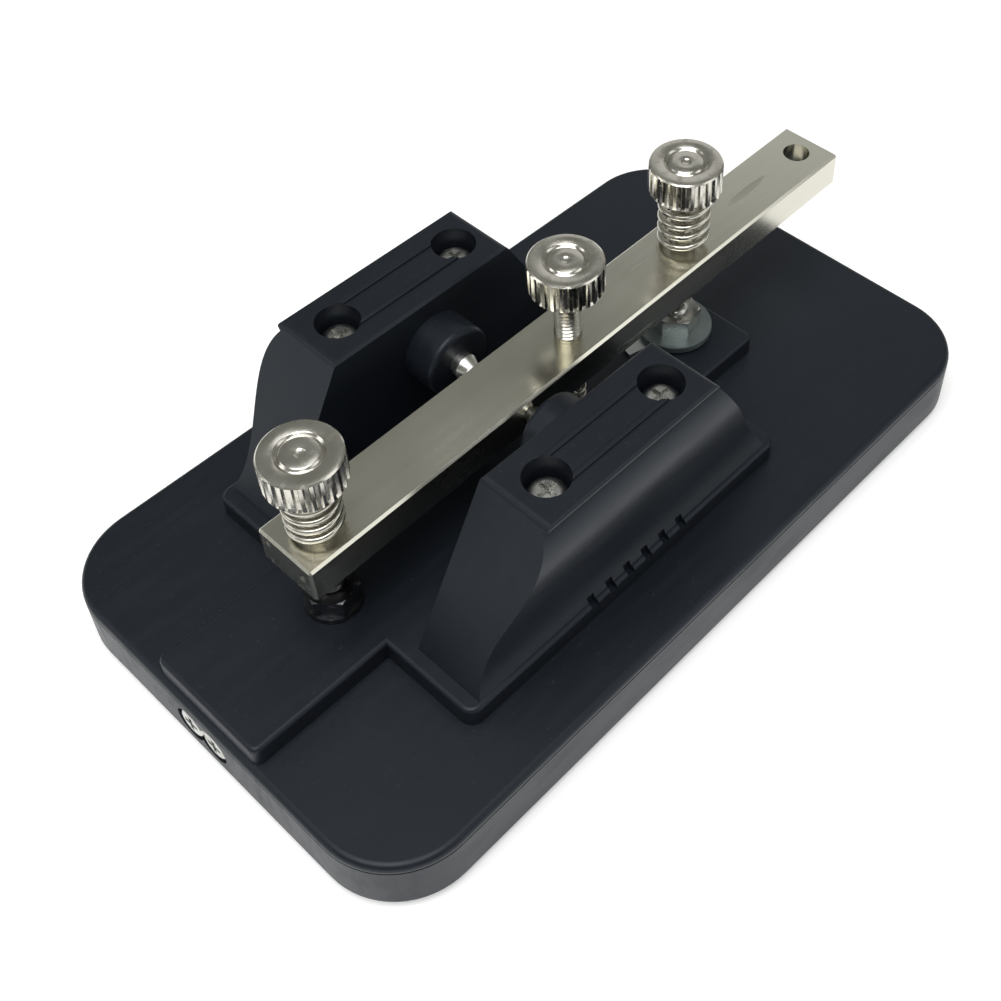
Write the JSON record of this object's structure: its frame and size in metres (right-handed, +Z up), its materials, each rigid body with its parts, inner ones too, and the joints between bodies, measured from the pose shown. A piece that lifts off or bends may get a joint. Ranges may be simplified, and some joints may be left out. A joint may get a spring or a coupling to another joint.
{
  "type": "morse key",
  "caption": "Straight morse key: a flat metal lever rocks on cone pins between side towers on a rounded base, with knurled stop, tension and contact screws and a hole for a finger knob.",
  "frame": {"origin": "centre of the base outline, on the surface the rubber feet stand on", "axes": "+X from the terminal end to the knob end of the lever, +Y to the left when looking along +X, +Z up"},
  "size_m": [0.128, 0.072, 0.0483],
  "materials": {
    "black_plastic": "fine satin moulded black",
    "plate_paint": "thin black paint on steel",
    "plated_steel": "bright zinc plate",
    "dark_steel": "dark oiled steel",
    "foot_rubber": "matt",
    "nickel": "polished nickel plate with fine scratches",
    "spring_steel": "drawn wire, nickel plated",
    "plain_brass": "turned, unplated",
    "tinned_tag": "tinned sheet",
    "zinc_washer": "dull zinc plate",
    "red_insulation": "smooth extruded sleeve",
    "black_insulation": "smooth extruded sleeve"
  },
  "bodies": {
    "base": {"base_shell": "black_plastic", "left_tower": "black_plastic", "right_tower": "black_plastic", "bottom_plate": "plate_paint", "plate_screws": "plated_steel", "rubber_feet": "foot_rubber", "tower_screws": "plated_steel", "left_pivot_pin": "plated_steel", "right_pivot_pin": "plated_steel", "spring_seat": "plain_brass", "stop_bolt": "dark_steel", "stop_washer": "dark_steel", "stop_nut": "dark_steel", "contact_bolt": "plated_steel", "solder_tag": "tinned_tag", "contact_washer": "zinc_washer", "contact_nut": "plated_steel", "terminal_screws": "plated_steel", "terminal_nuts": "plain_brass", "contact_wire": "red_insulation", "lever_wire": "black_insulation"},
    "lever": {"lever_bar": "nickel"},
    "tail_screw_carrier": {"tail_lock_spring": "spring_steel"},
    "tail_screw": {"tail_screw": "nickel"},
    "tension_screw_carrier": {"return_spring": "spring_steel"},
    "tension_screw": {"tension_screw": "nickel"},
    "contact_screw_carrier": {"contact_lock_spring": "spring_steel"},
    "contact_screw": {"contact_screw": "nickel"}
  },
  "joints": [
    {"name": "lever_press", "type": "hinge", "parent": "base", "child": "lever", "pos_m": [-0.0086, 0, 0.0293], "axis": [0, 1, 0], "range_deg": [0, 0.8], "stiffness_Nm_per_rad": 0.12, "springref_deg": -34.38, "deforming": ["return_spring"]},
    {"name": "tail_screw_travel", "type": "slide", "parent": "lever", "child": "tail_screw_carrier", "axis": [-0.0209, 0, 0.9998], "range_m": [0, 0.0014], "deforming": ["tail_lock_spring"]},
    {"name": "tail_screw_turn", "type": "hinge", "parent": "tail_screw_carrier", "child": "tail_screw", "pos_m": [-0.04164, 0, 0.03101], "axis": [-0.0209, 0, 0.9998], "range_deg": [0, 721]},
    {"name": "tension_screw_travel", "type": "slide", "parent": "lever", "child": "tension_screw_carrier", "axis": [-0.0209, 0, 0.9998], "range_m": [-0.0014, 0.0014], "deforming": ["return_spring"]},
    {"name": "tension_screw_turn", "type": "hinge", "parent": "tension_screw_carrier", "child": "tension_screw", "pos_m": [0.0047, 0, 0.03198], "axis": [-0.0209, 0, 0.9998], "range_deg": [-721, 721]},
    {"name": "contact_screw_travel", "type": "slide", "parent": "lever", "child": "contact_screw_carrier", "axis": [-0.0209, 0, 0.9998], "range_m": [0, 0.0014], "deforming": ["contact_lock_spring"]},
    {"name": "contact_screw_turn", "type": "hinge", "parent": "contact_screw_carrier", "child": "contact_screw", "pos_m": [0.03014, 0, 0.03251], "axis": [-0.0209, 0, 0.9998], "range_deg": [0, 721]}
  ],
  "couplings": [
    {"joint": "tail_screw_turn", "follows": "tail_screw_travel", "rad_per_m": 8976},
    {"joint": "tension_screw_turn", "follows": "tension_screw_travel", "rad_per_m": 8976},
    {"joint": "contact_screw_turn", "follows": "contact_screw_travel", "rad_per_m": 8976}
  ]
}
